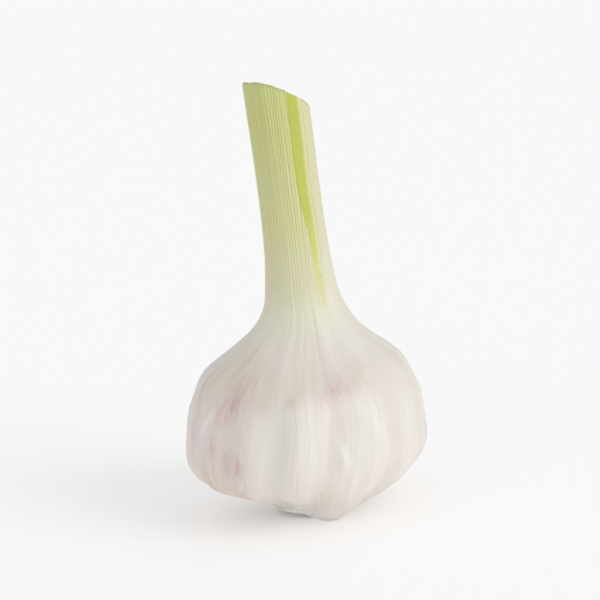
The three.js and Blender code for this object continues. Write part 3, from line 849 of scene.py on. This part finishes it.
def first_leaf_depth(azimuth, level):
    """How deep the outermost young leaf lies: against the sheath, and nearly level in the slit."""
    from_left, from_right = beside_slit(azimuth, level)
    across = np.clip(from_left / (from_left + from_right - 0.001), 0.0, 1.0)
    margin = left_margin(level) + (RIGHT_MARGIN_THICKNESS - left_margin(level)) * across
    inside = (from_left < 0.0) & (from_right < 0.0)
    depth = np.where(inside, margin, sheath_wall(azimuth, level))
    # Below the slit's foot the leaf stands a little further inside the bore.
    return depth + LEAF_CLEARANCE + 0.2 * (1.0 - smoothstep(level, SLIT_FOOT - 4.0, SLIT_FOOT - 0.5))


def rolled_leaf(number):
    """One sheath of the roll: its outside, its rounded cut edge and its inside."""
    outer_depth = SHEATH_THICKNESS + INNER_GAP + number * INNER_STEP
    inner_depth = outer_depth + INNER_THICKNESS
    turn = BACK + np.linspace(0.0, 360.0, INNER_COLUMNS + 1)
    draw = np.random.default_rng(100 + number)
    tip_depth = first_leaf_depth(turn, CUT_HEIGHT + 0.0 * turn) if number == 0 else outer_depth
    tip = cut_height(turn, tip_depth) - 0.05 - (0.3 * draw.random() if number else 0.0)
    tip = tip + CUT_RAGGEDNESS * ripple(turn, 0.0, [(12, 10.0), (30, 10.0)], 20 + number)
    floor = INNER_FLOOR + number * INNER_FLOOR_STEP
    lane = (turn - BACK) / VEIN_TURN
    ribs = RIB_HEIGHT * (0.5 - 0.5 * np.cos(np.radians(turn) * VEINS)) ** 1.5
    roll = Sheet()
    outside, inside = [], []
    for share in np.linspace(0.0, 1.0, OUTSIDE_ROWS):
        level = floor + (tip - floor) * share
        depth = first_leaf_depth(turn, level) if number == 0 else outer_depth + 0.0 * turn
        row_points = stem_point(turn, level, radius_at(level) - depth - ribs)
        outside.append(roll.row(row_points, lane, level, True))
    for share in (0.25, 0.75):
        edge_depth = depth + (inner_depth - depth) * share
        edge = stem_point(turn, tip, radius_at(tip) - edge_depth) + RIM_RISE
        outside.append(roll.row(edge, lane, tip, True))
    for share in np.linspace(1.0, 0.0, INSIDE_ROWS):
        level = floor + (tip - floor) * share
        row_points = stem_point(turn, level, radius_at(level) - inner_depth)
        inside.append(roll.row(row_points, lane, level, True))
    all_rows = outside + inside
    for lower, upper in zip(all_rows[:-1], all_rows[1:]):
        roll.strip(lower, upper)
    roll.strip(inside[-1], outside[0])
    return roll


def roll_values(points, rises):
    """What the finish needs to know at each point of a rolled leaf."""
    x = points[:, 0] - along(CENTRE_SHIFT, points[:, 2])
    turn = np.arctan2(points[:, 1], x)
    from_left, from_right = beside_slit(np.degrees(turn), points[:, 2])
    past_middle = from_right - from_left
    width = -(from_left + from_right)
    across = 0.5 + past_middle / np.maximum(2.0 * width, 1.0)
    greener = [(48.0, 0.1), (54.0, 0.2), (62.0, 0.36), (68.0, 0.6), (78.0, 0.9), (100.0, 1.0)]
    return {
        "green": np.interp(points[:, 2], *zip(*greener)),
        "paler": smoothstep(across, 0.62, 0.98) * (1.0 - smoothstep(across, 1.5, 3.0)),
        "pitch": 2.0 * math.pi * np.hypot(x, points[:, 1]) / VEINS,
        "grain": grain_at(turn, rises),
    }


def leaf_finish(name, tints):
    """A moist young leaf: green above and pale below, with paler veins."""
    material, shader = new_finish(name)
    veins, strength = vein_lines(material, VEINS, 0.35, 7.0)
    patchy = streaks(material, 60.0, 1.2, 3.0)
    base_tint = ramp(material, known(material, "green"), tints)
    margin_tint = ramp(material, known(material, "green"), [
        (0.1, colour(230, 227, 206)), (0.6, colour(226, 225, 188)), (1.0, colour(220, 218, 163)),
    ])
    base_tint = mixed(material, known(material, "paler"), base_tint, margin_tint)
    darker = ranged(material, patchy, 0.35, 0.7, 0.0, 0.2)
    darker = mixed(material, darker, base_tint, colour(214, 220, 150), "MULTIPLY")
    share = ranged(material, strength, 0.0, 1.0, 0.02, 0.14, "LINEAR")
    share = times(material, veins, share)
    feed(material, shader.inputs["Base Color"], mixed(material, share, darker, colour(226, 228, 168)))
    feed(material, shader.inputs["Roughness"], ranged(material, patchy, 0.3, 0.7, 0.30, 0.45, "LINEAR"))
    shader.inputs["Subsurface Weight"].default_value = 0.15
    shader.inputs["Subsurface Radius"].default_value = (0.8, 1.0, 0.3)
    shader.inputs["Subsurface Scale"].default_value = 0.0012
    fine_relief(material, shader, maths(material, "ADD", veins, patchy), 0.4, 0.0001)
    return material


green_leaf = leaf_finish("young_green_leaf", [
    (0.0, colour(226, 224, 190)), (0.3, colour(216, 217, 158)), (0.6, colour(206, 211, 115)),
    (0.9, colour(192, 199, 88)), (1.0, colour(189, 195, 84)),
])
pale_leaf = leaf_finish("young_pale_leaf", [
    (0.0, colour(232, 230, 196)), (0.3, colour(230, 230, 186)), (0.6, colour(224, 228, 160)),
    (0.9, colour(216, 222, 140)), (1.0, colour(214, 220, 138)),
])
for number in range(INNER_LEAVES):
    young_leaf = rolled_leaf(number).piece(f"young_leaf_{number + 1}", roll_values)
    young_leaf.data.materials.append(green_leaf if number < 2 else pale_leaf)
    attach(young_leaf, "root")
    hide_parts("inner_leaves")

# The heart of the roll is a thin solid shoot, which is cut off just under the leaves round it. Its
# sections run from its foot to its rounded cut: (share of its height, share of its radius).
SHOOT_RADIUS = 0.95
SHOOT_SIDES = 32
SHOOT_FOOT = 54.0
SHOOT_UNDER_CUT = 0.4
SHOOT_SECTIONS = [(0.0, 1.0), (0.3, 1.0), (0.6, 1.0), (0.85, 1.0), (0.99, 1.0), (1.0, 0.9), (1.002, 0.5)]
shoot = Sheet()
shoot_turn = BACK + np.linspace(0.0, 360.0, SHOOT_SIDES + 1)
shoot_depth = float(radius_at(np.asarray(CUT_HEIGHT))) - SHOOT_RADIUS
shoot_tip = cut_height(shoot_turn, shoot_depth) - SHOOT_UNDER_CUT
shoot_lane = (shoot_turn - BACK) / VEIN_TURN
shoot_rows = []
for share, wide in SHOOT_SECTIONS:
    level = SHOOT_FOOT + (shoot_tip - SHOOT_FOOT) * share
    shoot_points = stem_point(shoot_turn, level, SHOOT_RADIUS * wide)
    shoot_rows.append(shoot.row(shoot_points, shoot_lane, level, True))
for lower, upper in zip(shoot_rows[:-1], shoot_rows[1:]):
    shoot.strip(lower, upper)
shoot.fill(shoot_rows[0], np.mean([shoot.points[k] for k in shoot_rows[0][:-1]], axis=0))
shoot.fill(shoot_rows[-1][::-1], np.mean([shoot.points[k] for k in shoot_rows[-1][:-1]], axis=0))
heart = shoot.piece("heart_shoot", roll_values)
heart.data.materials.append(pale_leaf)
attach(heart, "root")
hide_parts("inner_leaves")


# The root plate is the woody disc that the cloves grow from, with a flat corky hub that the bulb
# rests on. Its trimmed roots stand round the hub as short dry pegs with frayed ends.
PLATE_PROFILE = [
    (0.0, 0.0), (2.0, 0.0), (3.9, 0.0), (4.2, 0.25), (4.6, 0.9), (5.5, 1.3), (6.6, 1.55),
    (7.6, 1.7), (8.0, 1.85), (8.25, 2.1), (8.3, 2.5), (8.25, 2.85),
]
PLATE_COLUMNS = 120
PLATE_ROWS = 44
PLATE_TOP = 2.85
HUB_EDGE = (3.9, 4.8)
RIM_EDGE = (7.9, 8.2)
WRINKLED_TO = 3.8
PLATE_ROUGHNESS = 0.22
HUB_WRINKLES = 0.03
# The plate's pattern takes its rise from the way out over the plate, drawn out by this much.
PLATE_RISE = 9.0
plate_sheet = Sheet()
plate_turn = np.linspace(0.0, 360.0, PLATE_COLUMNS + 1)
plate_line = smooth_curve(PLATE_PROFILE, np.linspace(0.0, 1.0, PLATE_ROWS))
plate_rows = []
for spread, level in plate_line[1:]:
    off_hub = smoothstep(spread, *HUB_EDGE) * (1.0 - smoothstep(spread, *RIM_EDGE))
    rise = spread * PLATE_RISE
    rough = PLATE_ROUGHNESS * off_hub * ripple(plate_turn, rise, [(40, 20.0), (22, 14.0)], 50)
    wrinkle = HUB_WRINKLES * ripple(plate_turn, rise, [(30, 9.0)], 51)
    wrinkle = wrinkle * (spread < WRINKLED_TO) * min(spread / 3.0, 1.0)
    heights = np.maximum(level + rough, 0.0) + np.maximum(wrinkle, 0.0)
    ring = np.stack([
        spread * np.cos(np.radians(plate_turn)), spread * np.sin(np.radians(plate_turn)), heights,
    ], axis=-1)
    plate_rows.append(plate_sheet.row(ring, plate_turn / VEIN_TURN, spread, True))
plate_sheet.fill(plate_rows[0], np.array([0.0, 0.0, 0.0]))
for lower, upper in zip(plate_rows[:-1], plate_rows[1:]):
    plate_sheet.strip(lower, upper)
plate_sheet.fill(plate_rows[-1][::-1], np.array([0.0, 0.0, PLATE_TOP]))


def dry_finish(name, light, dark, grain_scale):
    """Dry woody tissue: tan and brown fibres with a dull, rough surface."""
    material, shader = new_finish(name)
    where = node(material, "ShaderNodeTexCoord", output=3)
    sources = (where, None, grain_scale, 5.0, 0.6)
    patchy = node(material, "ShaderNodeTexNoise", *sources, noise_dimensions="3D")
    specks = node(material, "ShaderNodeTexVoronoi", where, None, grain_scale * 3.0)
    tint = ramp(material, patchy, [(0.3, dark), (0.65, light)])
    speck_share = ranged(material, specks, 0.0, 0.5, 0.5, 0.0)
    tint = mixed(material, speck_share, tint, colour(140, 112, 84), "MULTIPLY")
    feed(material, shader.inputs["Base Color"], tint)
    dull = ranged(material, patchy, 0.3, 0.7, 0.7, 0.95, "LINEAR")
    feed(material, shader.inputs["Roughness"], dull)
    fine_relief(material, shader, maths(material, "ADD", patchy, specks), 0.8, 0.0003)
    return material


plate = plate_sheet.piece("root_plate_disc")
plate.data.materials.append(dry_finish("corky_plate", colour(206, 184, 150), colour(150, 122, 92), 900.0))
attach(plate, "root")
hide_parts("root_plate")

# The roots stand in uneven rings, (radius, count), and end higher towards the plate's rim.
ROOT_RINGS = [(5.0, 16), (5.9, 20), (6.8, 24), (7.6, 26)]
ROOT_SIDES = 10
ROOT_OUTERMOST = 7.55
ROOT_SUNK_TO = 2.3
ROOT_END_RISE = 0.3
ROOT_END_FROM = 4.2
# A root's sections from the plate down to its cut end: (how far up, share of its lean, width).
ROOT_SECTIONS = [(1.5, 0.0, 1.15), (1.0, 0.25, 0.95), (0.7, 0.5, 0.9), (0.35, 0.8, 0.95), (0.0, 1.0, 0.8)]
ROOT_BANDS = len(ROOT_SECTIONS) - 1
root_draw = np.random.default_rng(12)
root_points, root_faces = [], []
for spread, count in ROOT_RINGS:
    for k in range(count):
        turn = 2.0 * math.pi * (k + 0.7 * root_draw.random()) / count
        away = spread + 0.25 * root_draw.uniform(-1.0, 1.0)
        thick = root_draw.uniform(0.26, 0.5)
        tip = ROOT_END_RISE * (spread - ROOT_END_FROM) + root_draw.uniform(-0.15, 0.55)
        lean = root_draw.uniform(-0.05, 0.45)
        sway = root_draw.uniform(-0.3, 0.3)
        first = len(root_points)
        for level, share, width in ROOT_SECTIONS:
            height_here = tip + level * (ROOT_SUNK_TO - tip) / ROOT_SECTIONS[0][0]
            out_here = min(away + lean * share, ROOT_OUTERMOST)
            side = sway * share
            middle_x = out_here * math.cos(turn) - side * math.sin(turn)
            middle_y = out_here * math.sin(turn) + side * math.cos(turn)
            for s in range(ROOT_SIDES):
                angle = 2.0 * math.pi * s / ROOT_SIDES
                swell = thick * width * (1.0 + 0.12 * root_draw.uniform(-1.0, 1.0))
                ragged_end = 0.0 if level else root_draw.uniform(0.0, 0.12)
                root_points.append((
                    middle_x + swell * math.cos(angle),
                    middle_y + swell * math.sin(angle),
                    height_here + ragged_end,
                ))
        for row in range(ROOT_BANDS):
            for s in range(ROOT_SIDES):
                a = first + row * ROOT_SIDES + s
                b = first + row * ROOT_SIDES + (s + 1) % ROOT_SIDES
                root_faces.append((a, a + ROOT_SIDES, b + ROOT_SIDES, b))
        root_faces.append(tuple(first + s for s in range(ROOT_SIDES)))
        end = first + ROOT_BANDS * ROOT_SIDES
        root_points.append((middle_x, middle_y, tip + 0.10))
        for s in range(ROOT_SIDES):
            root_faces.append((end + (s + 1) % ROOT_SIDES, end + s, len(root_points) - 1))
roots = mesh_object("root_stubs", root_points, root_faces)
roots.data.materials.append(dry_finish("dry_roots", colour(236, 224, 198), colour(198, 174, 140), 1400.0))
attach(roots, "root")
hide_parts("root_plate")


# The floor is a plain pale studio sheet that runs far back behind the bulb. Like a light table it
# glows evenly a little, so the underside isn't dark.
FLOOR_HALF = 6.0
FLOOR_GLOW = 0.16
floor_mesh = bpy.data.meshes.new("floor")
floor_corners = [
    (-FLOOR_HALF, -FLOOR_HALF, 0.0), (FLOOR_HALF, -FLOOR_HALF, 0.0),
    (FLOOR_HALF, FLOOR_HALF, 0.0), (-FLOOR_HALF, FLOOR_HALF, 0.0),
]
floor_mesh.from_pydata(floor_corners, [], [(0, 1, 2, 3)])
floor = bpy.data.objects.new("floor", floor_mesh)
bpy.context.collection.objects.link(floor)
floor_finish, floor_shader = new_finish("pale_floor")
floor_shader.inputs["Base Color"].default_value = (0.96, 0.96, 0.96, 1.0)
floor_shader.inputs["Roughness"].default_value = 0.9
floor_shader.inputs["Specular IOR Level"].default_value = 0.1
floor_shader.inputs["Emission Color"].default_value = (1.0, 1.0, 1.0, 1.0)
floor_shader.inputs["Emission Strength"].default_value = FLOOR_GLOW
floor_mesh.materials.append(floor_finish)


# The light is a bright, even studio white, with one very large soft lamp from the upper right.
SURROUND_STRENGTH = 0.70
LAMP_STRENGTH = 0.90
LAMP_WIDTH = math.radians(40.0)
LAMP_SHINES = Vector((-0.75, 0.60, -0.42))
world = bpy.data.worlds.new("studio")
world.use_nodes = True
world.node_tree.nodes["Background"].inputs[0].default_value = (1.0, 1.0, 1.0, 1.0)
world.node_tree.nodes["Background"].inputs[1].default_value = SURROUND_STRENGTH
bpy.context.scene.world = world
key_data = bpy.data.lights.new("key_lamp", "SUN")
key_data.energy = LAMP_STRENGTH
key_data.angle = LAMP_WIDTH
key_lamp = bpy.data.objects.new("key_lamp", key_data)
key_lamp.rotation_euler = LAMP_SHINES.to_track_quat("-Z", "Y").to_euler()
bpy.context.collection.objects.link(key_lamp)
bpy.context.scene.view_settings.view_transform = "Standard"
bpy.context.scene.view_settings.look = "None"
